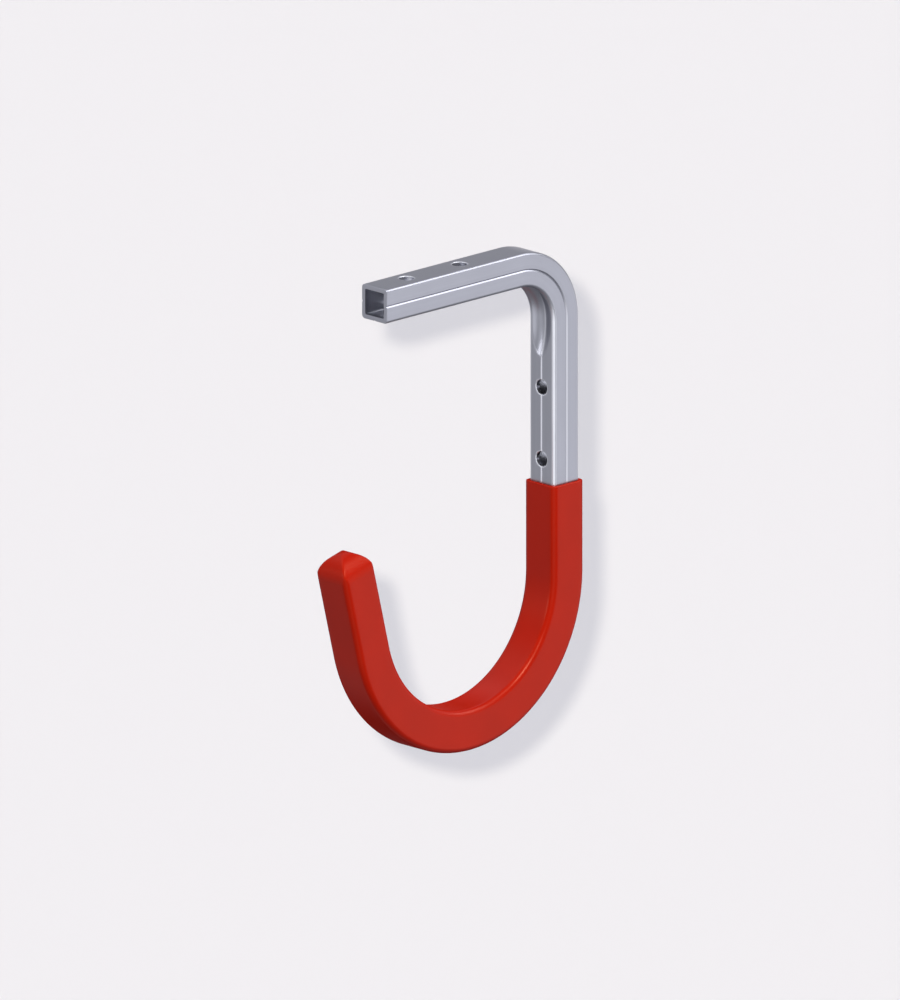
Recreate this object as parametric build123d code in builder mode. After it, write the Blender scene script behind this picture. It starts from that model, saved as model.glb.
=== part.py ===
from build123d import *
import os
from math import acos, degrees, sqrt

# A hook for a wall or a ceiling, in millimetres. It is a bent square aluminium tube with a plastic
# sleeve over its lower half. +Z is up, the wall is at +Y, the hook opens towards -Y and X runs
# across. The origin is midway between the two wall holes, on the tube's face against the wall.

# Square tube. A flat of 0.7 mm stands for each corner's rounding of about 1 mm.
side = 11.5
wall = 1.5
corner_flat = 0.7
groove_width = 1.0
groove_depth = 0.35

# Bent form: the height is over the bare tube, and the reach is from the wall
height = 160.0
arm_reach = 87.0
top_bend_radius = 20.0
hook_width = 100.0
end_lean = 14.3
end_straight = 30.0

# Screw holes: a pair in the leg and a pair in the arm, from the tube's top and from the wall
hole_diameter = 5.0
hole_spacing = 24.0
wall_hole_drop = 48.5
ceiling_hole_reach = 48.5

# Mark pressed into the inner wall of the top bend
press_depth = 2.0
press_width = 8.8
press_straight = 4.5
press_run_out = 8.0
press_clearance = 0.5

# Sleeve: the drop is from the tube's top, and the tip's reach is from the end of the U
sleeve_wall = 1.25
sleeve_corner = 2.0
sleeve_drop = 80.5
tip_reach = 35.9
tip_radius = 7.9

# Places that follow from the sizes
tube_axis_y = -side / 2
top_z = wall_hole_drop + hole_spacing / 2
arm_z = top_z - side / 2
bend_y = tube_axis_y - top_bend_radius
bend_z = arm_z - top_bend_radius
hook_radius = (hook_width - side) / 2
hook_y = tube_axis_y - hook_radius
hook_z = top_z - height + side / 2 + hook_radius
hook_turn = 180 - end_lean
sleeve_top_z = top_z - sleeve_drop
sleeve_side = side + 2 * sleeve_wall


def across(line, where):
    """The plane square to a line at its start (0) or its end (1), with its x axis along X."""
    return Plane(origin=line @ where, x_dir=(1, 0, 0), z_dir=line % where)


# The tube's centreline, from the open end of the arm to the end inside the sleeve
with BuildLine(Plane.YZ) as tube_line:
    Line((-arm_reach, arm_z), (bend_y, arm_z))
    CenterArc((bend_y, bend_z), top_bend_radius, 90, -90)
    Line((tube_axis_y, bend_z), (tube_axis_y, hook_z))
    hook_arc = CenterArc((hook_y, hook_z), hook_radius, 0, -hook_turn)
    Line(hook_arc @ 1, hook_arc @ 1 + end_straight * (hook_arc % 1))
tube_path = tube_line.wire()

# The sleeve's own stretch of the centreline, as far as the end of the U
with BuildLine(Plane.YZ) as sleeve_line:
    Line((tube_axis_y, sleeve_top_z), (tube_axis_y, hook_z))
    CenterArc((hook_y, hook_z), hook_radius, 0, -hook_turn)
sleeve_path = sleeve_line.wire()

# The deepest line of the press mark. It follows the bend, runs straight along both legs and then
# curves out of their faces.
floor_radius = top_bend_radius - side / 2 + press_depth
run_out_radius = (press_run_out**2 + press_depth**2) / (2 * press_depth)
run_out_angle = degrees(acos(1 - (press_depth + press_clearance) / run_out_radius))
run_out_y = bend_y + floor_radius - run_out_radius
run_out_z = bend_z + floor_radius - run_out_radius
with BuildLine(Plane.YZ) as press_line:
    CenterArc((run_out_y, bend_z - press_straight), run_out_radius, -run_out_angle, run_out_angle)
    Line((bend_y + floor_radius, bend_z - press_straight), (bend_y + floor_radius, bend_z))
    CenterArc((bend_y, bend_z), floor_radius, 0, 90)
    Line((bend_y, bend_z + floor_radius), (bend_y - press_straight, bend_z + floor_radius))
    CenterArc((bend_y - press_straight, run_out_z), run_out_radius, 90, run_out_angle)
press_path = press_line.wire()
crown_radius = ((press_width / 2) ** 2 + press_depth**2) / (2 * press_depth)


def press_form(growth):
    """The form that the press leaves in the inner wall, its round crown grown by a thickness."""
    crown = crown_radius + growth
    depth = press_depth + press_clearance + growth
    with BuildPart() as form:
        with BuildSketch(across(press_path, 0)):
            with Locations((0, -crown_radius)):
                Circle(crown)
            with Locations((0, growth)):
                Rectangle(2 * crown, depth, align=(Align.CENTER, Align.MAX), mode=Mode.INTERSECT)
        sweep(path=press_path)
    return form.part


def plain_square():
    """The tube's outer section without its grooves."""
    face = side / 2
    flat_start = face - corner_flat
    Polygon(
        (face, -flat_start),
        (face, flat_start),
        (flat_start, face),
        (-flat_start, face),
        (-face, flat_start),
        (-face, -flat_start),
        (-flat_start, -face),
        (flat_start, -face),
        align=None,
    )


def grooved_square():
    """The tube's outer section. A V groove runs along each face but the bend's outer one."""
    plain_square()
    with PolarLocations(side / 2, 3, angular_range=270):
        Polygon(
            (0, groove_width / 2),
            (-groove_depth, 0),
            (0, -groove_width / 2),
            align=None,
            mode=Mode.SUBTRACT,
        )


def tip_outline():
    """The sleeve's end seen square on. Its two sides run straight and then curve in to a point."""
    half = sleeve_side / 2
    shoulder = tip_reach - sqrt(tip_radius**2 - (tip_radius - half) ** 2)
    turn = degrees(acos(1 - half / tip_radius))
    with BuildLine() as outline:
        right_arc = CenterArc((half - tip_radius, shoulder), tip_radius, 0, turn)
        left_arc = CenterArc((tip_radius - half, shoulder), tip_radius, 180, -turn)
        Polyline(left_arc @ 0, (-half, 0), (half, 0), right_arc @ 0)
    make_face(outline.edges())


# The plain outer form of the tube, which the sleeve is pushed over
with BuildPart() as tube_envelope:
    with BuildSketch(across(tube_path, 0)):
        plain_square()
    sweep(path=tube_path)

# The bore, which the pressed wall bulges into
with BuildPart() as bore:
    with BuildSketch(across(tube_path, 0)):
        Rectangle(side - 2 * wall, side - 2 * wall)
    sweep(path=tube_path)
    add(press_form(wall), mode=Mode.SUBTRACT)

with BuildPart() as hook_tube:
    with BuildSketch(across(tube_path, 0)):
        grooved_square()
    sweep(path=tube_path)
    add(bore.part, mode=Mode.SUBTRACT)
    add(press_form(0), mode=Mode.SUBTRACT)
    with BuildSketch(Plane.XZ.offset(-tube_axis_y)):
        with GridLocations(0, hole_spacing, 1, 2):
            Circle(hole_diameter / 2)
    extrude(amount=side, both=True, mode=Mode.SUBTRACT)
    with BuildSketch(Plane.XY.offset(arm_z)):
        with Locations((0, -ceiling_hole_reach - hole_spacing / 2)):
            with GridLocations(0, hole_spacing, 1, 2):
                Circle(hole_diameter / 2)
    extrude(amount=side, both=True, mode=Mode.SUBTRACT)

# The straight end of the sleeve. The four sides of its tip curve in to one point.
end_base = sleeve_path @ 1
end_side = Vector(1, 0, 0).cross(sleeve_path % 1)
with BuildPart() as sleeve_end:
    with BuildSketch(across(sleeve_path, 1)):
        RectangleRounded(sleeve_side, sleeve_side, sleeve_corner)
    extrude(amount=tip_reach)
    with BuildSketch(Plane(origin=end_base, x_dir=(1, 0, 0), z_dir=end_side)):
        tip_outline()
    extrude(amount=sleeve_side, both=True, mode=Mode.INTERSECT)
    with BuildSketch(Plane(origin=end_base, x_dir=end_side, z_dir=(-1, 0, 0))):
        tip_outline()
    extrude(amount=sleeve_side, both=True, mode=Mode.INTERSECT)

with BuildPart() as grip_sleeve:
    with BuildSketch(across(sleeve_path, 0)):
        RectangleRounded(sleeve_side, sleeve_side, sleeve_corner)
    sweep(path=sleeve_path)
    add(sleeve_end.part)
    add(tube_envelope.part, mode=Mode.SUBTRACT)

os.makedirs("parts", exist_ok=True)
hook_tube.part.label = "hook_tube"
export_step(hook_tube.part, "parts/hook_tube.step")
grip_sleeve.part.label = "grip_sleeve"
export_step(grip_sleeve.part, "parts/grip_sleeve.step")
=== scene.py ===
"""Utility hook: a bent square aluminium tube with a red plastic grip sleeve over its U."""

import bmesh
import bpy
import math
import numpy as np
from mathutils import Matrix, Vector


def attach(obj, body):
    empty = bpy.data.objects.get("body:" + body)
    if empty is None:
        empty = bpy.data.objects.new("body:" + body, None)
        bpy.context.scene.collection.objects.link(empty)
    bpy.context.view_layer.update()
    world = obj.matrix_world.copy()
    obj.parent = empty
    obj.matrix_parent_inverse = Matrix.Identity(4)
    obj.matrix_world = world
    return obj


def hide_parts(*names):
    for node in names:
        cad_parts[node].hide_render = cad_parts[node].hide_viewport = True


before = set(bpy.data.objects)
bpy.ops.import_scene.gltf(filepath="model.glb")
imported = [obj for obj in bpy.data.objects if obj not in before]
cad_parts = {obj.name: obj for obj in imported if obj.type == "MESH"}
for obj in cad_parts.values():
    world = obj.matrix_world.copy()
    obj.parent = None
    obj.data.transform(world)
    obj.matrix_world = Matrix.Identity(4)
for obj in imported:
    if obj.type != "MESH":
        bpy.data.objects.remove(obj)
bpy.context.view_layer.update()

MM = 0.001

# All sizes are in millimetres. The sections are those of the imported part, except that the tube's
# corners are round here and its grooves are a little narrower.
TUBE_HALF = 5.75
BORE_HALF = 4.25
WALL = TUBE_HALF - BORE_HALF
TUBE_CORNER = 1.2
BORE_CORNER = 0.3
GROOVE_HALF = 0.42
GROOVE_DEPTH = 0.3
SLEEVE_HALF = 7.0
SLEEVE_CORNER = 2.0
HOLE_RADIUS = 2.5

# Small edges: the tube's broken rims, the sleeve's rolled rim and its flare, the gap between the
# two pieces, and the rounding of the ridges on the sleeve's tip
RIM_BREAK = 0.15
RIM_ROLL = 0.22
RIM_FLARE = 0.25
SLEEVE_CLEARANCE = 0.03
RIDGE_ROUND = 0.7

# The bent centreline: arm, bend, leg, U and end leg
ARM_END_Y = -87.0
BEND_Y = -25.75
BEND_Z = 34.75
BEND_RADIUS = 20.0
HOOK_Y = -50.0
HOOK_Z = -49.5
HOOK_RADIUS = 44.25
HOOK_TURN = math.radians(165.7)
TUBE_END_LENGTH = 30.0
SLEEVE_TOP_Z = -20.0
TIP_REACH = 35.9
TIP_RADIUS = 7.9

ARM_LENGTH = BEND_Y - ARM_END_Y
BEND_LENGTH = BEND_RADIUS * math.pi / 2
LEG_LENGTH = BEND_Z - HOOK_Z
HOOK_LENGTH = HOOK_RADIUS * HOOK_TURN
BEND_START = ARM_LENGTH
BEND_END = BEND_START + BEND_LENGTH
HOOK_START = BEND_END + LEG_LENGTH
HOOK_END = HOOK_START + HOOK_LENGTH
TUBE_END = HOOK_END + TUBE_END_LENGTH
SLEEVE_START = BEND_END + BEND_Z - SLEEVE_TOP_Z

# The screw holes' places along the centreline: two in the arm and two in the leg
HOLE_SPACING = 24.0
ARM_HOLE = 14.5
LEG_MIDDLE = BEND_END + BEND_Z
HOLE_PLACES = (
    ARM_HOLE,
    ARM_HOLE + HOLE_SPACING,
    LEG_MIDDLE - HOLE_SPACING / 2,
    LEG_MIDDLE + HOLE_SPACING / 2,
)

# The mark pressed into the inner wall of the bend. Its deepest line is near the middle, with a
# round slope on its left and a straighter one on its right. It keeps its depth over a short
# straight beside the bend and then runs out, all within its span. Its back bulges into the bore,
# wider by the bulge on both sides.
PRESS_DEPTH = 1.8
PRESS_LINE = -0.3
PRESS_LEFT = -4.4
PRESS_RIGHT = 4.35
PRESS_FLOOR = 1.6
PRESS_LEFT_POWER = 2.2
PRESS_STRAIGHT = 1.5
PRESS_RUN_OUT = 11.0
PRESS_SPAN = 14.0
PRESS_BULGE = 1.0
PRESS_SOFTNESS = 0.12
PRESS_RADIUS = (PRESS_RUN_OUT**2 + PRESS_DEPTH**2) / (2 * PRESS_DEPTH)

# The groove fades away where the mark is as deep as this
GROOVE_FADE = 0.5

# The mesh points across half a face of the tube. The first ones lie in and beside the groove, on
# the strip that stays straight up to a hole's rim. The others go on to a small gap from the edge
# of the outer and of the inner skin.
GROOVE_KEEP = 0.62
GROOVE_MARKS = (0.0, 0.12, 0.3, GROOVE_HALF, 0.48, 0.55, GROOVE_KEEP)
FACE_MARKS = 12
OUTER_GAP = 0.25
INNER_GAP = 0.3

# The numbers of steps round a corner of each piece, and of points up to a hole's rim, across a
# face of the sleeve and up its tip
TUBE_CORNER_STEPS = 8
SLEEVE_CORNER_STEPS = 12
HOLE_POINTS = 9
SLEEVE_POINTS = 9
TIP_POINTS = 41

# The longest steps between rows: on the tube's open and its hidden straight runs, then in its
# bend and its U for both skins, then on the sleeve's leg, U and end leg, outside and inside
OPEN_STEP = 3.0
HIDDEN_STEP = 4.0
OUTER_STEPS = (0.4, 1.5)
INNER_STEPS = (1.2, 3.0)
SLEEVE_STEPS = (2.0, 1.2, 2.0)
CAVITY_STEPS = (4.0, 2.4, 4.0)

# A point this near a face counts as on it. Nearer points than the next are merged, shorter edges
# than the third dissolved, and edges from the last angle on, in degrees, are sharp.
TOUCH = 1e-6
MERGE_DISTANCE = 0.004
SLIVER_EDGE = 0.001
SHARP_ANGLE = 35

# How much the grooves of the bend and the leg are made lighter, out of 1, partly as wear and
# partly as a painted highlight, and how much the holes' rims, where it fades with this power of
# the nearness to the rim
GROOVE_WEAR_AND_HIGHLIGHT = 0.6
RIM_WEAR_AND_HIGHLIGHT = 0.5
RIM_HIGHLIGHT_POWER = 12

# Lengths on the map: over the open end, once round a hole, over the cavity's end, and from row to
# row of the sleeve's rim
END_MAP = 1.0
HOLE_ROUND = 16.0
CAVITY_END_MAP = 5.0
RIM_MAP_STEP = 0.1

# The photograph's view: its directions, the point in the middle of the picture, and the height of
# the picture in metres
VIEW_RIGHT = (0.70215, 0.71203, 0.0)
VIEW_UP = (-0.19244, 0.18976, 0.96279)
VIEW_BACK = (0.68554, -0.67602, 0.27026)
VIEW_TARGET = (-8.44, -44.53, -20.87)
VIEW_HEIGHT = 0.32185

# The board stands this many metres behind the hook. The lamps are given by their directions to
# the right, up and towards the camera, with strength, width in degrees and colour.
BOARD_DISTANCE = 1.2
BOARD_HALF = 0.6
BOARD_CORNERS = ((-1, -1), (1, -1), (1, 1), (-1, 1))
WHITE = (1, 1, 1)
LAMPS = (
    ("shadow_lamp", (-0.0059, 0.0059, 1.0), 0.9, 0.28, (1, 0.95, 0.82)),
    ("key_lamp", (0.33, 0.57, 0.75), 1.9, 18, WHITE),
    ("lower_key_lamp", (0.17, 0.29, 0.94), 0.35, 12, WHITE),
    ("upper_key_lamp", (0.49, 0.77, 0.40), 0.3, 18, WHITE),
    ("side_lamp", (0.96, -0.17, 0.05), 0.3, 43, (0.98, 0.98, 1)),
    ("edge_lamp", (0.79, 0.61, 0.01), 0.75, 31, WHITE),
    ("low_lamp", (0.0, -0.51, 0.86), 0.42, 52, WHITE),
    ("window_lamp", (-0.92, 0.11, 0.37), 0.38, 22, WHITE),
    ("left_lamp", (-0.45, 0.85, 0.27), 0.4, 50, WHITE),
    ("front_lamp", (-0.78, -0.42, 0.47), 0.05, 30, WHITE),
)
SURROUND = (0.07, 0.08, 0.12)
PALE_WALLS = (0.63, 0.635, 0.65)
GREY_FLOOR = (0.28, 0.285, 0.30)
BOARD_COLOUR = (0.754, 0.737, 0.756)
METAL_DARK = (0.345, 0.35, 0.40)
METAL_LIGHT = (0.385, 0.39, 0.445)
# Lighter metal for corners, grooves and hole rims: partly wear, partly a painted highlight
METAL_WORN_AND_LIT = (0.76, 0.77, 0.835)
METAL_GRAZING = (0.74, 0.74, 0.76)
RED_DARK = (0.386, 0.0065, 0.0003)
RED_LIGHT = (0.424, 0.0075, 0.0005)
RED_GLOSS = (1, 0.42, 0.25)


def centreline(along):
    """Points and inward directions in the YZ plane at distances along the tube's centreline.

    The line is a straight arm, a quarter circle, a straight leg, a circular arc and a straight
    end leg, each beginning where the last one ends. The inward direction points to the arcs'
    centres, so it is the same on a straight run as at the arc beside it."""
    s = np.asarray(along, float)
    bend_angle = math.pi / 2 - (s - BEND_START) / BEND_RADIUS
    bend_angle = np.clip(bend_angle, 0, math.pi / 2)
    hook_angle = -np.clip((s - HOOK_START) / HOOK_RADIUS, 0, HOOK_TURN)
    first = s < BEND_END
    centre_y = np.where(first, BEND_Y, HOOK_Y)
    centre_z = np.where(first, BEND_Z, HOOK_Z)
    radius = np.where(first, BEND_RADIUS, HOOK_RADIUS)
    angle = np.where(first, bend_angle, hook_angle)
    y = centre_y + radius * np.cos(angle)
    z = centre_z + radius * np.sin(angle)
    before = np.minimum(s - BEND_START, 0)
    y = y + before
    leg = (s >= BEND_END) & (s < HOOK_START)
    z = np.where(leg, BEND_Z - (s - BEND_END), z)
    past = np.maximum(s - HOOK_END, 0)
    y = y + past * math.sin(-HOOK_TURN)
    z = z - past * math.cos(-HOOK_TURN)
    return y, z, -np.cos(angle), -np.sin(angle)


def carried(across, inward, along):
    """Section points carried along the centreline: x is the distance across, and the other two
    coordinates are the line's point plus the inward distance times the inward direction."""
    y, z, ny, nz = centreline(along)
    return np.stack([across + 0 * y, y + inward * ny, z + inward * nz], axis=-1)


def rounded_square(half, corner, marks, corner_steps):
    """A closed square section with round corners: points, outward normals and the distance round.

    Each side is a straight run at the distance half from the middle, with its points at the
    marks, and a quarter circle of the corner's radius joins it to the next side. The sides come
    in the order inner, +x, outer and -x."""
    flat = half - corner
    turns = np.linspace(0, math.pi / 2, corner_steps + 1)[1:-1]
    marks = np.clip(marks, -flat, flat)
    run = np.concatenate([marks, flat + corner * np.sin(turns)])
    rise = np.concatenate([marks * 0 + half, flat + corner * np.cos(turns)])
    lean = np.concatenate([marks * 0, turns])
    points, normals = [], []
    for quarter in range(4):
        c, s = math.cos(quarter * math.pi / 2), math.sin(quarter * math.pi / 2)
        points.append(np.stack([c * run + s * rise, c * rise - s * run], axis=-1))
        across, inward = np.sin(lean), np.cos(lean)
        normals.append(np.stack([c * across + s * inward, c * inward - s * across], axis=-1))
    points, normals = np.concatenate(points), np.concatenate(normals)
    steps = np.linalg.norm(np.diff(points, axis=0, append=points[:1]), axis=1)
    return points, normals, np.concatenate([[0], np.cumsum(steps)[:-1]])


def softened(value, softness):
    """The larger of a value and 0, with the kink between them rounded as a hyperbola."""
    return 0.5 * (value + np.sqrt(value * value + softness * softness))


def press_mark(across, along, growth=0.0):
    """How far the pressed wall lies below the tube's inner face.

    The depth on the deepest line is even round the bend and over a short straight, and then
    runs out on a circle. To the left of the line the depth falls with a power of the distance a
    little above its square, and to its right along a hyperbola that soon runs straight."""
    beyond = np.maximum(BEND_START - along, along - BEND_END) - PRESS_STRAIGHT
    beyond = np.clip(beyond, 0, PRESS_RADIUS * 0.98)
    depth = PRESS_DEPTH - PRESS_RADIUS + np.sqrt(PRESS_RADIUS**2 - beyond**2)
    left = np.maximum(PRESS_LINE - across, 0) / (PRESS_LINE - PRESS_LEFT + growth)
    right = np.hypot(np.maximum(across - PRESS_LINE, 0), PRESS_FLOOR) - PRESS_FLOOR
    right = right / (math.hypot(PRESS_RIGHT - PRESS_LINE + growth, PRESS_FLOOR) - PRESS_FLOOR)
    return softened(depth - PRESS_DEPTH * (left**PRESS_LEFT_POWER + right), PRESS_SOFTNESS)


def groove(distance):
    """The depth of the V groove at a distance from a face's middle: it falls to zero in a
    straight line at half the groove's width."""
    return GROOVE_DEPTH * np.clip(1 - np.abs(distance) / GROOVE_HALF, 0, 1)


def outer_skin(across, inward, along):
    """The tube's outer surface: the plain section, cut by the groove in the middle of each face
    but the outer one, and pushed in by the press mark on the inner face, where the groove
    fades away."""
    pressed = press_mark(across, along)
    fade = np.clip(1 - pressed / GROOVE_FADE, 0, 1)
    on_inner = inward > TUBE_HALF - TOUCH
    on_side = np.abs(across) > TUBE_HALF - TOUCH
    moved = inward - on_inner * (pressed + groove(across) * fade)
    side = across - on_side * np.sign(across) * groove(inward)
    return carried(side, moved, along)


def inner_skin(across, inward, along):
    """The bore's surface: the plain section, with the back of the press mark bulging into it."""
    pressed = press_mark(across, along, growth=PRESS_BULGE)
    on_inner = inward > BORE_HALF - TOUCH
    return carried(across, inward - on_inner * pressed, along)


class Shell:
    """Grids of points gathered into one closed mesh, with a map of the distance round and along
    and a mask of how much each point is painted lighter, partly as wear and partly as painted
    highlight and painted light."""

    def __init__(self):
        self.points, self.maps, self.wear, self.faces, self.count = [], [], [], [], 0

    def grid(self, points, around, along, keep=None, wear=0.0):
        """Adds a grid of quads. Rows follow the first axis and columns the second."""
        rows, columns = points.shape[:2]
        number = self.count + np.arange(rows * columns).reshape(rows, columns)
        corners = (number[:-1, :-1], number[:-1, 1:], number[1:, 1:], number[1:, :-1])
        quads = np.stack(corners, axis=-1)
        if keep is not None:
            quads = quads[keep]
        around = np.broadcast_to(around, (rows, columns))
        along = np.broadcast_to(along, (rows, columns))
        self.points.append(points.reshape(-1, 3))
        self.maps.append(np.stack([around, along], axis=-1).reshape(-1, 2))
        self.wear.append(np.broadcast_to(wear, (rows, columns)).ravel())
        self.faces.append(quads.reshape(-1, 4))
        self.count += rows * columns

    def piece(self, name, material, node):
        """The finished piece: doubles merged, faces turned outwards and smooth. It rides on the
        hook and stands for its CAD node."""
        points = np.concatenate(self.points) * MM
        places = np.concatenate(self.maps) * MM
        faces = np.concatenate(self.faces)
        mesh = bpy.data.meshes.new(name)
        mesh.from_pydata(points.tolist(), [], faces.tolist())
        layer = mesh.uv_layers.new(name="round_and_along")
        layer.data.foreach_set("uv", places[faces.ravel()].astype(np.float32).ravel())
        # The mask of lighter metal, partly wear and partly painted highlight and painted light,
        # kept per point
        rubbed_and_lit = mesh.attributes.new("edge_wear", "FLOAT", "POINT")
        rubbed_and_lit.data.foreach_set("value", np.concatenate(self.wear).astype(np.float32))
        work = bmesh.new()
        work.from_mesh(mesh)
        bmesh.ops.remove_doubles(work, verts=work.verts, dist=MERGE_DISTANCE * MM)
        bmesh.ops.dissolve_degenerate(work, edges=work.edges, dist=SLIVER_EDGE * MM)
        bmesh.ops.recalc_face_normals(work, faces=work.faces)
        open_edges = sum(1 for edge in work.edges if not edge.is_manifold)
        triangles = sum(len(face.verts) - 2 for face in work.faces)
        work.to_mesh(mesh)
        work.free()
        print(name, "triangles", triangles, "open edges", open_edges)
        mesh.shade_smooth()
        mesh.set_sharp_from_angle(angle=math.radians(SHARP_ANGLE))
        mesh.materials.append(material)
        obj = bpy.data.objects.new(name, mesh)
        bpy.context.scene.collection.objects.link(obj)
        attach(obj, "root")
        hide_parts(node)


def closed_section(half, corner, marks, corner_steps):
    """A rounded square whose first point is repeated at the end, with the distance round."""
    points, normals, around = rounded_square(half, corner, marks, corner_steps)
    last = around[-1] + np.linalg.norm(points[-1] - points[0])
    points, normals = np.vstack([points, points[:1]]), np.vstack([normals, normals[:1]])
    return points, normals, np.append(around, last)


def spaced(breaks, steps):
    """Distances that rise through the breaks, evenly spaced by at most the step between each
    two of them."""
    parts = []
    for low, high, step in zip(breaks[:-1], breaks[1:], steps):
        count = max(1, math.ceil((high - low) / step - 1e-9))
        parts.append(np.linspace(low, high, count + 1)[:-1])
    return np.append(np.concatenate(parts), breaks[-1])


def face_marks(flat, edge_gap):
    """The points across a face: those of a hole's patch, which stops short of the flat's ends by
    a gap, and then all of them with the two ends."""
    further = np.linspace(GROOVE_KEEP, flat - edge_gap, FACE_MARKS)[1:]
    side = np.concatenate([GROOVE_MARKS, further])
    patch = np.concatenate([-side[:0:-1], side])
    return patch, np.concatenate([[-flat], patch, [flat]])


def tube_rows(patch, start, bend_step, hook_step):
    """The places of the tube's rows: close together in the bend, and at the points of the
    patches round the holes, where the step is so long that no other row comes in."""
    reach, in_patch = patch[-1], TUBE_END
    breaks, steps = [start], []
    for place in HOLE_PLACES[:2]:
        breaks += [place - reach, place + reach]
        steps += [OPEN_STEP, in_patch]
    breaks += [BEND_START - PRESS_SPAN, BEND_START, BEND_END, BEND_END + PRESS_SPAN]
    steps += [OPEN_STEP, bend_step, bend_step, bend_step]
    for place in HOLE_PLACES[2:]:
        breaks += [place - reach, place + reach]
        steps += [OPEN_STEP, in_patch]
    breaks += [HOOK_START, HOOK_END, TUBE_END]
    steps += [HIDDEN_STEP, hook_step, HIDDEN_STEP]
    rows = np.concatenate([spaced(breaks, steps)] + [place + patch for place in HOLE_PLACES])
    return np.unique(np.round(rows, 6))


def hole_patch(shell, skin, half, face, place, patch, hole, around_at, painted_brightness):
    """The wall round one screw hole: a square of the skin with a round hole in it.

    Lines run from the points on the square's edges to the hole's rim. Near the groove they keep
    their distance across, and further out that distance shrinks in proportion, so the groove
    stays straight up to the rim. Returns the rim's points as (across, along), in a closed loop."""
    reach = patch[-1]
    diagonal = hole * math.sqrt(0.5)
    size = np.abs(patch)
    shrunk = GROOVE_KEEP + (size - GROOVE_KEEP) * (diagonal - GROOVE_KEEP) / (reach - GROOVE_KEEP)
    rim = np.sign(patch) * np.where(size < GROOVE_KEEP, size, shrunk)
    far = np.sqrt(hole**2 - rim**2)
    blend = np.linspace(0, 1, HOLE_POINTS)[:, None]
    near = patch * (1 - blend) + rim * blend
    out = reach * (1 - blend) + far * blend
    for sign in (1, -1):
        for across, along in ((near, sign * out), (sign * out, near)):
            points = skin(across, face * half + 0 * across, place + along)
            # Painted highlight, partly wear: lighter towards the hole's rim and over the leg's
            # groove
            in_groove = (groove(across) > 0) * (face > 0) * (place > BEND_END)
            rubbed_and_lit = RIM_WEAR_AND_HIGHLIGHT * blend**RIM_HIGHLIGHT_POWER + GROOVE_WEAR_AND_HIGHLIGHT * in_groove
            shell.grid(points, around_at(across), place + along, wear=np.maximum(rubbed_and_lit, painted_brightness))
    top, right = np.stack([rim, far], axis=-1), np.stack([far, rim], axis=-1)[::-1]
    bottom, left = np.stack([rim, -far], axis=-1)[::-1], np.stack([-far, rim], axis=-1)
    return np.concatenate([top, right[1:], bottom[1:], left[1:]]) + (0, place)


def skin_with_holes(shell, skin, half, corner, marks, patch, rows, hole, painted_brightness):
    """A skin of the tube over its whole length, open at the eight places where a screw hole
    meets it. Round the bend its corners and grooves are painted lighter, partly as wear and
    partly as a painted highlight. This is greatest where a corner leans 45 degrees, falls as the
    square root of the sine of twice the lean, and is even over the grooves. The painted
    brightness given is the least it takes, and that begins behind the first row. Returns the
    rims by place and face, the section and its normals."""
    section, normals, around = closed_section(half, corner, marks, TUBE_CORNER_STEPS)
    across, inward = section[None, :, 0], section[None, :, 1]
    along = rows[:, None] + 0 * across
    per_side = (len(section) - 1) // 4
    reach = patch[-1]
    middle = 0.5 * (marks[1:] + marks[:-1])
    columns = np.flatnonzero(np.abs(middle) < reach)
    keep = np.ones((len(rows) - 1, len(section) - 1), bool)
    row_middle = 0.5 * (rows[1:] + rows[:-1])
    rims = {}
    for place in HOLE_PLACES:
        in_patch = np.flatnonzero(np.abs(row_middle - place) < reach)
        for face, side in ((1, 0), (-1, 2)):
            start = around[side * per_side]
            keep[np.ix_(in_patch, side * per_side + columns)] = False
            rims[place, face] = hole_patch(
                shell, skin, half, face, place, patch, hole,
                lambda x, start=start, face=face: start + half - corner + face * x, painted_brightness,
            )
    # Painted highlight, partly wear: the corners and grooves are made lighter round the bend
    lean = 2 * np.abs(normals[:, 0] * normals[:, 1])
    round_bend = np.clip((along - BEND_START) / BEND_LENGTH, 0, 1) ** 2
    from_middle = np.where(np.abs(normals[:, 0]) > 0.5, section[:, 1], section[:, 0])
    grooved = (np.abs(from_middle) < GROOVE_HALF) & (section[:, 1] > -half)
    rubbed_and_lit = round_bend * np.maximum(np.sqrt(lean), GROOVE_WEAR_AND_HIGHLIGHT * grooved)
    points = skin(across + 0 * along, inward + 0 * along, along)
    shell.grid(points, around, along, keep, np.maximum(rubbed_and_lit, painted_brightness * (along > 0)))
    return rims, section, normals


def ring(section, skin, place):
    """One closed row of a skin's points at a place along the tube."""
    return skin(section[:, 0], section[:, 1], np.full(len(section), place))


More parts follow.
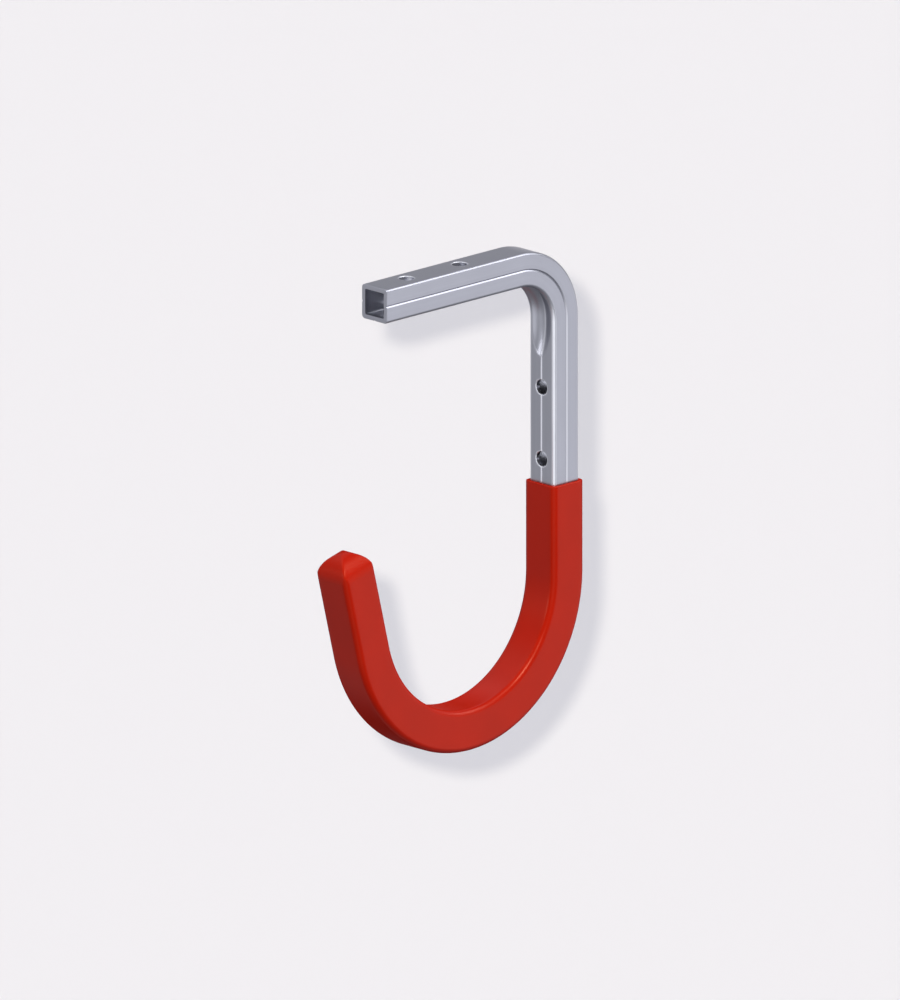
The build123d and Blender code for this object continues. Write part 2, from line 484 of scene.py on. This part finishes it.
def build_tube(material):
    """The bent tube: an outer and an inner skin, joined at both ends and through the holes. The
    inner skin and the holes' walls are painted as light as the metal gets, painted light where
    little light reaches."""
    shell = Shell()
    patch, marks = face_marks(TUBE_HALF - TUBE_CORNER, OUTER_GAP)
    rows = tube_rows(patch, RIM_BREAK, *OUTER_STEPS)
    hole = HOLE_RADIUS + RIM_BREAK
    outer_rims, outer, normals = skin_with_holes(
        shell, outer_skin, TUBE_HALF, TUBE_CORNER, marks, patch, rows, hole, painted_brightness=0.0
    )
    patch, marks = face_marks(BORE_HALF - BORE_CORNER, INNER_GAP)
    rows = tube_rows(patch, 0.0, *INNER_STEPS)
    # The bore's skin is painted fully light: painted light inside the tube
    inner_rims, inner, _ = skin_with_holes(
        shell, inner_skin, BORE_HALF, BORE_CORNER, marks, patch, rows, HOLE_RADIUS, painted_brightness=1.0
    )

    # The arm's open end: the outer edge is broken by a small quarter circle
    turns = np.linspace(0, math.pi / 2, 5)
    end = [ring(outer, outer_skin, RIM_BREAK * (1 - math.sin(turn))) for turn in turns]
    _, _, ny, nz = centreline(np.zeros(1))
    spread = np.stack([normals[:, 0], normals[:, 1] * ny, normals[:, 1] * nz], axis=-1)
    end = [row - spread * RIM_BREAK * (1 - math.cos(turn)) for row, turn in zip(end, turns)]
    end += [ring(inner, inner_skin, 0.0)]
    shell.grid(np.stack(end), 0.0, np.linspace(0, -END_MAP, len(end))[:, None])
    far_end = [ring(outer, outer_skin, TUBE_END), ring(inner, inner_skin, TUBE_END)]
    shell.grid(np.stack(far_end), 0.0, np.array([[0.0], [WALL]]))

    # The walls of the eight holes, with the outer rim broken at 45 degrees, painted as light as
    # the metal gets: painted light inside the holes
    for (place, face), rim in outer_rims.items():
        across, along = rim[:, 0], rim[:, 1] - place
        back = inner_rims[place, face]
        drop = TUBE_HALF - (face > 0) * groove(across)
        shrink = HOLE_RADIUS / hole
        wall = [
            carried(across, face * drop, place + along),
            carried(across * shrink, face * (drop - RIM_BREAK), place + along * shrink),
            carried(back[:, 0], face * BORE_HALF + 0 * back[:, 0], back[:, 1]),
        ]
        depths = np.array([[0], [RIM_BREAK], [WALL]])
        shell.grid(np.stack(wall), np.linspace(0, HOLE_ROUND, len(rim)), depths, wear=1.0)
    shell.piece("tube", material, "hook_tube")


def tip_section(turn, marks):
    """A section of the sleeve's tip, for an angle on the arcs that its four sides follow.

    The half-width is the arc's radius times the cosine, less what the radius exceeds the
    sleeve's half-width by. The upright edges keep their rounding until the sides cut it away,
    and a small rounding stays on the ridges up to the point."""
    half = TIP_RADIUS * math.cos(turn) - (TIP_RADIUS - SLEEVE_HALF)
    root = math.sqrt(2)
    corner_reach = root * SLEEVE_HALF - (root - 1) * SLEEVE_CORNER
    left = max(0.0, (root * half - corner_reach) / (root - 1))
    kept = 1 - (RIDGE_ROUND / SLEEVE_CORNER) ** 2
    corner = min(half * 0.98, math.sqrt(left**2 * kept + RIDGE_ROUND**2))
    share = (half - corner) / (SLEEVE_HALF - SLEEVE_CORNER)
    return closed_section(half, corner, marks * share, SLEEVE_CORNER_STEPS)[0]


def build_sleeve(material):
    """The grip sleeve: an outer skin that ends in a pointed vault, a rolled rim at the top, and
    the cavity that the tube fills."""
    shell = Shell()
    marks = np.linspace(-1, 1, SLEEVE_POINTS) * (SLEEVE_HALF - SLEEVE_CORNER)
    steps = SLEEVE_CORNER_STEPS
    outer, normals, around = closed_section(SLEEVE_HALF, SLEEVE_CORNER, marks, steps)
    tip_turn = math.acos(1 - SLEEVE_HALF / TIP_RADIUS)
    shoulder = HOOK_END + TIP_REACH - TIP_RADIUS * math.sin(tip_turn)
    breaks = [SLEEVE_START + RIM_ROLL, HOOK_START, HOOK_END, shoulder]
    rows = spaced(breaks, SLEEVE_STEPS)[:, None]
    shell.grid(carried(outer[:, 0], outer[:, 1], rows + 0 * around), around, rows)

    # The tip's four sides rise along equal arcs and meet in one point
    turns = np.linspace(0, tip_turn, TIP_POINTS)
    sections = np.stack([tip_section(turn, marks) for turn in turns])
    rise = shoulder + TIP_RADIUS * np.sin(turns)[:, None] + 0 * around
    shell.grid(carried(sections[..., 0], sections[..., 1], rise), around, rise)

    # The rim: the outer edge is rolled in a quarter circle, and a small flare meets the tube
    inner_half = TUBE_HALF + SLEEVE_CLEARANCE
    inner_marks = marks * (TUBE_HALF - TUBE_CORNER) / (SLEEVE_HALF - SLEEVE_CORNER)
    inner, inner_normals, _ = closed_section(inner_half, TUBE_CORNER, inner_marks, steps)
    rim = []
    for turn in np.linspace(0, math.pi / 2, 7):
        row = outer - normals * RIM_ROLL * (1 - math.cos(turn))
        place = SLEEVE_START + RIM_ROLL * (1 - math.sin(turn))
        rim.append(carried(row[:, 0], row[:, 1], place + 0 * around))
    for turn in np.linspace(0, math.pi / 2, 5):
        row = inner + inner_normals * RIM_FLARE * (1 - math.sin(turn))
        place = SLEEVE_START + RIM_FLARE * (1 - math.cos(turn))
        rim.append(carried(row[:, 0], row[:, 1], place + 0 * around))
    rim_map = SLEEVE_START - np.arange(len(rim))[:, None] * RIM_MAP_STEP
    shell.grid(np.stack(rim), around, rim_map)

    # The cavity, closed just past the tube's end
    cavity_end = TUBE_END + SLEEVE_CLEARANCE
    breaks = [SLEEVE_START + RIM_FLARE, HOOK_START, HOOK_END, cavity_end]
    rows = spaced(breaks, CAVITY_STEPS)[:, None]
    shell.grid(carried(inner[:, 0], inner[:, 1], rows + 0 * around), around, rows)
    last = carried(inner[:, 0], inner[:, 1], cavity_end + 0 * around)
    centre = carried(0 * around, 0 * around, cavity_end + 0 * around)
    shell.grid(np.stack([last, centre]), around, np.array([[0.0], [CAVITY_END_MAP]]))
    shell.piece("grip", material, "grip_sleeve")


def set_values(made, values):
    """Sets a node's plain values by socket name, with a low line for each space."""
    for key, value in values.items():
        made.inputs[key.replace("_", " ")].default_value = value


def node(tree, kind, label, **values):
    """A new node of a kind, named for its work, with its plain values."""
    made = tree.nodes.new(kind)
    made.name = made.label = label
    set_values(made, values)
    return made


def lengthwise_lines():
    """A node group: fine lines that run along the tube, as an extrusion die leaves them. It
    stretches a noise far along the second map direction and keeps it fine round the section."""
    group = bpy.data.node_groups.new("lengthwise_lines", "ShaderNodeTree")
    face = group.interface
    face.new_socket("Map", in_out="INPUT", socket_type="NodeSocketVector")
    face.new_socket("Lines per Metre", in_out="INPUT", socket_type="NodeSocketFloat")
    face.new_socket("Waves per Metre", in_out="INPUT", socket_type="NodeSocketFloat")
    face.new_socket("Lines", in_out="OUTPUT", socket_type="NodeSocketFloat")
    start, end = group.nodes.new("NodeGroupInput"), group.nodes.new("NodeGroupOutput")
    scale = node(group, "ShaderNodeCombineXYZ", "scales")
    stretch = group.nodes.new("ShaderNodeVectorMath")
    stretch.operation = "MULTIPLY"
    noise = node(group, "ShaderNodeTexNoise", "line noise", Scale=1.0, Detail=3.0, Roughness=0.6)
    group.links.new(start.outputs["Lines per Metre"], scale.inputs["X"])
    group.links.new(start.outputs["Waves per Metre"], scale.inputs["Y"])
    group.links.new(start.outputs["Map"], stretch.inputs[0])
    group.links.new(scale.outputs["Vector"], stretch.inputs[1])
    group.links.new(stretch.outputs["Vector"], noise.inputs["Vector"])
    group.links.new(noise.outputs["Fac"], end.inputs["Lines"])
    return group


def soft_mottle():
    """A node group: slow unevenness of a surface, a noise of two sizes added together."""
    group = bpy.data.node_groups.new("soft_mottle", "ShaderNodeTree")
    face = group.interface
    face.new_socket("Position", in_out="INPUT", socket_type="NodeSocketVector")
    face.new_socket("Patches per Metre", in_out="INPUT", socket_type="NodeSocketFloat")
    face.new_socket("Grains per Metre", in_out="INPUT", socket_type="NodeSocketFloat")
    face.new_socket("Mottle", in_out="OUTPUT", socket_type="NodeSocketFloat")
    face.new_socket("Grain", in_out="OUTPUT", socket_type="NodeSocketFloat")
    start, end = group.nodes.new("NodeGroupInput"), group.nodes.new("NodeGroupOutput")
    slow = node(group, "ShaderNodeTexNoise", "slow noise", Detail=2.0, Roughness=0.5)
    quick = node(group, "ShaderNodeTexNoise", "grain noise", Detail=3.0, Roughness=0.6)
    for noise, size in ((slow, "Patches per Metre"), (quick, "Grains per Metre")):
        group.links.new(start.outputs["Position"], noise.inputs["Vector"])
        group.links.new(start.outputs[size], noise.inputs["Scale"])
    group.links.new(slow.outputs["Fac"], end.inputs["Mottle"])
    group.links.new(quick.outputs["Fac"], end.inputs["Grain"])
    return group


def placed(tree, group, label, **values):
    """A node that places a shader node group, with its plain values."""
    made = node(tree, "ShaderNodeGroup", label)
    made.node_tree = group
    set_values(made, values)
    return made


def ranged(tree, source, label, low, high):
    """A Map Range node that turns a noise's usual span, 0.3 to 0.7, into low to high."""
    made = node(tree, "ShaderNodeMapRange", label, From_Min=0.3, From_Max=0.7)
    made.inputs["To Min"].default_value, made.inputs["To Max"].default_value = low, high
    tree.links.new(source, made.inputs["Value"])
    return made


def two_colours(tree, source, label, first, second):
    """A colour between two, chosen by a mask."""
    made = node(tree, "ShaderNodeMix", label)
    made.data_type = "RGBA"
    made.inputs["A"].default_value = (*first, 1.0)
    made.inputs["B"].default_value = (*second, 1.0)
    tree.links.new(source, made.inputs["Factor"])
    return made


def combined(tree, operation, first, second, label):
    """A Math node that joins two values that change over the surface."""
    made = node(tree, "ShaderNodeMath", label)
    made.operation = operation
    tree.links.new(first, made.inputs[0])
    tree.links.new(second, made.inputs[1])
    return made


def aluminium_material(lines, mottle):
    """Anodised aluminium: a satin metal with faint die lines along it, a slow unevenness of its
    gloss, and a lighter colour where the mask says: on corners, grooves and hole rims partly
    wear and partly a painted highlight, in the bore and the holes' walls painted light."""
    material = bpy.data.materials.new("anodised_aluminium")
    material.use_nodes = True
    tree = material.node_tree
    shader = tree.nodes["Principled BSDF"]
    shader.inputs["Metallic"].default_value = 1.0
    shader.inputs["Specular Tint"].default_value = (*METAL_GRAZING, 1)
    where = tree.nodes.new("ShaderNodeTexCoord")
    die = placed(tree, lines, "die lines", Lines_per_Metre=5200.0, Waves_per_Metre=26.0)
    tree.links.new(where.outputs["UV"], die.inputs["Map"])
    cloud = placed(tree, mottle, "bath mottle", Patches_per_Metre=90.0, Grains_per_Metre=4200.0)
    tree.links.new(where.outputs["Object"], cloud.inputs["Position"])
    streak = placed(tree, lines, "broad streaks", Lines_per_Metre=650.0, Waves_per_Metre=3.0)
    tree.links.new(where.outputs["UV"], streak.inputs["Map"])
    # The mask paints the metal lighter: partly wear, partly painted highlight on edges and
    # grooves, and painted light in the bore and the holes
    wear = tree.nodes.new("ShaderNodeAttribute")
    wear.attribute_name = "edge_wear"
    fine_tone = ranged(tree, die.outputs["Lines"], "line tone", 0.0, 0.5)
    broad_tone = ranged(tree, streak.outputs["Lines"], "streak tone", 0.0, 0.5)
    tone = combined(tree, "ADD", fine_tone.outputs["Result"], broad_tone.outputs["Result"], "tone")
    colour = two_colours(tree, tone.outputs["Value"], "drawn colour", METAL_DARK, METAL_LIGHT)
    patchy = ranged(tree, cloud.outputs["Mottle"], "patchy wear", 0.85, 1.0)
    edge = combined(tree, "MULTIPLY", wear.outputs["Fac"], patchy.outputs["Result"], "edge mask")
    rubbed_and_lit = two_colours(tree, edge.outputs["Value"], "rubbed colour", METAL_DARK, METAL_WORN_AND_LIT)
    tree.links.new(colour.outputs["Result"], rubbed_and_lit.inputs["A"])
    tree.links.new(rubbed_and_lit.outputs["Result"], shader.inputs["Base Color"])
    gloss = ranged(tree, die.outputs["Lines"], "line roughness", 0.30, 0.36)
    spread = ranged(tree, cloud.outputs["Mottle"], "bath roughness", -0.02, 0.02)
    added = combined(tree, "ADD", gloss.outputs["Result"], spread.outputs["Result"], "roughness")
    tree.links.new(added.outputs["Value"], shader.inputs["Roughness"])
    etched = node(tree, "ShaderNodeBump", "etched grain", Strength=0.12, Distance=0.00002)
    tree.links.new(cloud.outputs["Grain"], etched.inputs["Height"])
    drawn = node(tree, "ShaderNodeBump", "drawn lines", Strength=0.25, Distance=0.00002)
    tree.links.new(die.outputs["Lines"], drawn.inputs["Height"])
    tree.links.new(etched.outputs["Normal"], drawn.inputs["Normal"])
    tree.links.new(drawn.outputs["Normal"], shader.inputs["Normal"])
    return material


def plastic_material(mottle):
    """Soft red plastic: a dipped skin with an even colour, a satin gloss and a faint grain."""
    material = bpy.data.materials.new("red_plastic")
    material.use_nodes = True
    tree = material.node_tree
    shader = tree.nodes["Principled BSDF"]
    shader.inputs["Specular IOR Level"].default_value = 0.34
    shader.inputs["Specular Tint"].default_value = (*RED_GLOSS, 1)
    where = tree.nodes.new("ShaderNodeTexCoord")
    cloud = placed(tree, mottle, "skin mottle", Patches_per_Metre=70.0, Grains_per_Metre=2600.0)
    tree.links.new(where.outputs["Object"], cloud.inputs["Position"])
    mask = ranged(tree, cloud.outputs["Mottle"], "mottle mask", 0.0, 1.0)
    colour = two_colours(tree, mask.outputs["Result"], "skin colour", RED_DARK, RED_LIGHT)
    tree.links.new(colour.outputs["Result"], shader.inputs["Base Color"])
    gloss = ranged(tree, cloud.outputs["Mottle"], "skin roughness", 0.28, 0.292)
    weight = node(tree, "ShaderNodeLayerWeight", "slant", Blend=0.5)
    dull = node(tree, "ShaderNodeMapRange", "dull at a slant", From_Min=0.45, From_Max=0.7)
    dull.inputs["To Max"].default_value = 0.65
    tree.links.new(weight.outputs["Facing"], dull.inputs["Value"])
    added = combined(tree, "ADD", gloss.outputs["Result"], dull.outputs["Result"], "roughness")
    tree.links.new(added.outputs["Value"], shader.inputs["Roughness"])
    grain = node(tree, "ShaderNodeBump", "skin grain", Strength=0.10, Distance=0.00003)
    tree.links.new(cloud.outputs["Grain"], grain.inputs["Height"])
    tree.links.new(grain.outputs["Normal"], shader.inputs["Normal"])
    return material


def sun(name, direction, strength, angle, colour):
    """A lamp that shines from a direction in the hook's frame, as wide as its angle."""
    lamp = bpy.data.lights.new(name, "SUN")
    lamp.energy, lamp.angle, lamp.color = strength, math.radians(angle), colour
    obj = bpy.data.objects.new(name, lamp)
    obj.rotation_euler = Vector(direction).to_track_quat("Z", "Y").to_euler()
    bpy.context.scene.collection.objects.link(obj)
    return obj


def studio(right, up, back, target):
    """The pale board behind the hook, the lamps and the surrounding light."""
    board = bpy.data.meshes.new("board")
    middle = target - BOARD_DISTANCE * back
    places = [middle + BOARD_HALF * (a * right + b * up) for a, b in BOARD_CORNERS]
    board.from_pydata([tuple(place) for place in places], [], [(0, 1, 2, 3)])
    paint = bpy.data.materials.new("board_paint")
    paint.use_nodes = True
    shader = paint.node_tree.nodes["Principled BSDF"]
    shader.inputs["Base Color"].default_value = (*BOARD_COLOUR, 1)
    shader.inputs["Roughness"].default_value = 0.9
    shader.inputs["Specular IOR Level"].default_value = 0.0
    board.materials.append(paint)
    obj = bpy.data.objects.new("board", board)
    bpy.context.scene.collection.objects.link(obj)
    for name, (to_right, to_up, to_back), strength, angle, colour in LAMPS:
        direction = to_right * right + to_up * up + to_back * back
        lamp = sun(name, direction, strength, angle, colour)
        # The narrow lamp is there for the soft shadow alone, so nothing mirrors it
        lamp.visible_glossy = name != "shadow_lamp"
    bpy.context.scene.world = room_light()


def room_light():
    """The world: a plain soft light, and where it is seen or mirrored a room with pale walls
    above a greyer floor. The floor comes in smoothly with the steepness of the look down."""
    world = bpy.data.worlds.new("room")
    world.use_nodes = True
    tree = world.node_tree
    soft = tree.nodes["Background"]
    soft.inputs["Color"].default_value = (*SURROUND, 1)
    where = tree.nodes.new("ShaderNodeTexCoord")
    parts = tree.nodes.new("ShaderNodeSeparateXYZ")
    tree.links.new(where.outputs["Generated"], parts.inputs["Vector"])
    height = node(tree, "ShaderNodeMapRange", "floor to walls", From_Min=-0.85, From_Max=-0.35)
    height.interpolation_type = "SMOOTHSTEP"
    tree.links.new(parts.outputs["Z"], height.inputs["Value"])
    tone = two_colours(tree, height.outputs["Result"], "room tone", GREY_FLOOR, PALE_WALLS)
    pale = node(tree, "ShaderNodeBackground", "pale room", Strength=1.0)
    tree.links.new(tone.outputs["Result"], pale.inputs["Color"])
    ray = tree.nodes.new("ShaderNodeLightPath").outputs
    seen = combined(tree, "ADD", ray["Is Camera Ray"], ray["Is Glossy Ray"], "seen or mirrored")
    glass = ray["Is Transmission Ray"]
    through = combined(tree, "ADD", seen.outputs["Value"], glass, "or through glass")
    choice = tree.nodes.new("ShaderNodeMixShader")
    tree.links.new(through.outputs["Value"], choice.inputs["Fac"])
    tree.links.new(soft.outputs["Background"], choice.inputs[1])
    tree.links.new(pale.outputs["Background"], choice.inputs[2])
    tree.links.new(choice.outputs["Shader"], tree.nodes["World Output"].inputs["Surface"])
    return world


def camera(back, target):
    """The photograph's parallel view of the hook."""
    lens = bpy.data.cameras.new("camera")
    lens.type = "ORTHO"
    lens.ortho_scale = VIEW_HEIGHT
    lens.clip_end = 10
    obj = bpy.data.objects.new("camera", lens)
    obj.location = target + 1.0 * back
    obj.rotation_euler = back.to_track_quat("Z", "Y").to_euler()
    bpy.context.scene.collection.objects.link(obj)
    bpy.context.scene.camera = obj


def main():
    """Builds the scene: the pieces, then the board, the lamps and the camera."""
    lines, mottle = lengthwise_lines(), soft_mottle()
    build_tube(aluminium_material(lines, mottle))
    build_sleeve(plastic_material(mottle))
    right, up, back = Vector(VIEW_RIGHT), Vector(VIEW_UP), Vector(VIEW_BACK)
    target = Vector(VIEW_TARGET) * MM
    studio(right, up, back, target)
    camera(back, target)
    bpy.context.scene.view_settings.view_transform = "Standard"


main()
